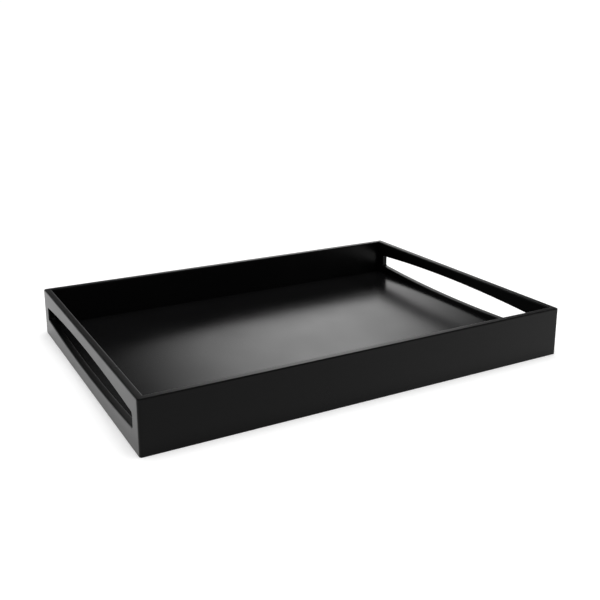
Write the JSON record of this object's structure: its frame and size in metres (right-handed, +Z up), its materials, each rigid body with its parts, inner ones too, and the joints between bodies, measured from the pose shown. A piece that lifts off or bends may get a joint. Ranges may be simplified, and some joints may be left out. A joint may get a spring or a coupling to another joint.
{
  "type": "serving tray",
  "caption": "Rectangular serving tray with upright walls, a flat base let into a groove and a long bowed hand slot through each short end.",
  "frame": {"origin": "centre of the footprint, on the table the tray stands on", "axes": "+X along the tray's length towards its right end, +Y towards its back, +Z up"},
  "size_m": [0.5, 0.36, 0.056],
  "materials": {
    "frame_lacquer": "satin black lacquer on wood board",
    "base_lacquer": "satin black lacquer on a thin wood panel",
    "dowel_beech": "bare beech"
  },
  "bodies": {
    "root": {"front_wall": "frame_lacquer", "back_wall": "frame_lacquer", "left_end_wall": "frame_lacquer", "right_end_wall": "frame_lacquer", "base_panel": "base_lacquer", "dowel_front_left_lower": "dowel_beech", "dowel_front_left_upper": "dowel_beech", "dowel_front_right_lower": "dowel_beech", "dowel_front_right_upper": "dowel_beech", "dowel_back_left_lower": "dowel_beech", "dowel_back_left_upper": "dowel_beech", "dowel_back_right_lower": "dowel_beech", "dowel_back_right_upper": "dowel_beech"}
  },
  "joints": []
}
